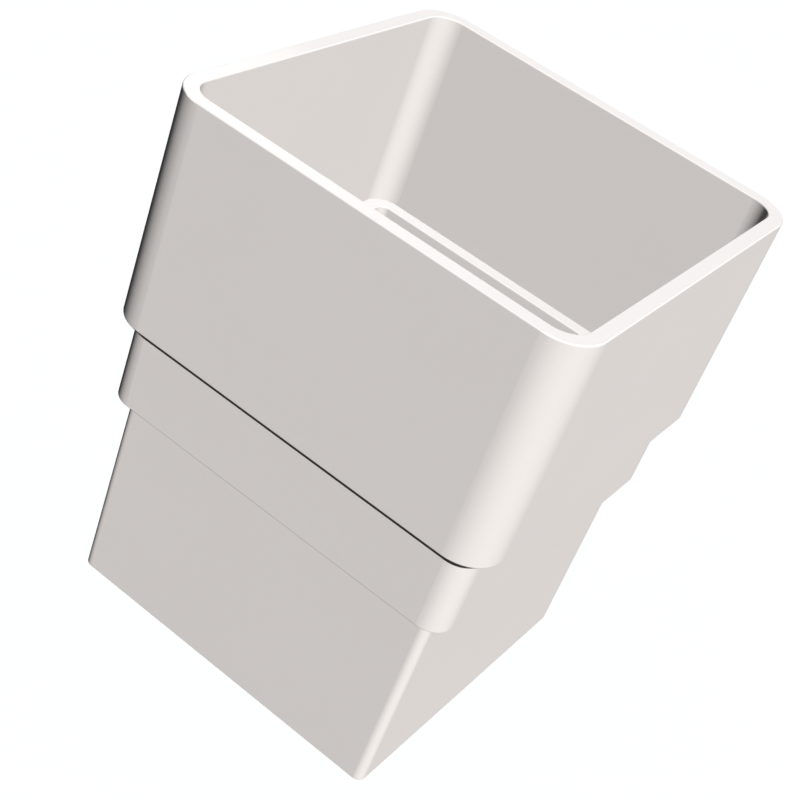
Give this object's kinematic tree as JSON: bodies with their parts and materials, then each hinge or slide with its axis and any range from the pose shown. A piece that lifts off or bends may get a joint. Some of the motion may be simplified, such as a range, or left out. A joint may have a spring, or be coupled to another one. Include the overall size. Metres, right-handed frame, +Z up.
{
  "type": "downpipe socket",
  "caption": "Square plastic downpipe socket: a wide mouth takes the pipe above, a stepped neck stops it, and a narrower spigot fits inside the pipe below.",
  "frame": {"origin": "on the axis of the pipe, at the open end of the spigot that the part stands on", "axes": "+Z up along the axis of the pipe, from the spigot to the mouth of the socket; X and Y square to the flat sides"},
  "size_m": [0.071, 0.071, 0.091],
  "materials": {
    "upvc": "smooth moulded white plastic with a soft gloss, very slightly warm"
  },
  "bodies": {
    "root": {"downpipe_socket": "upvc"}
  },
  "joints": []
}
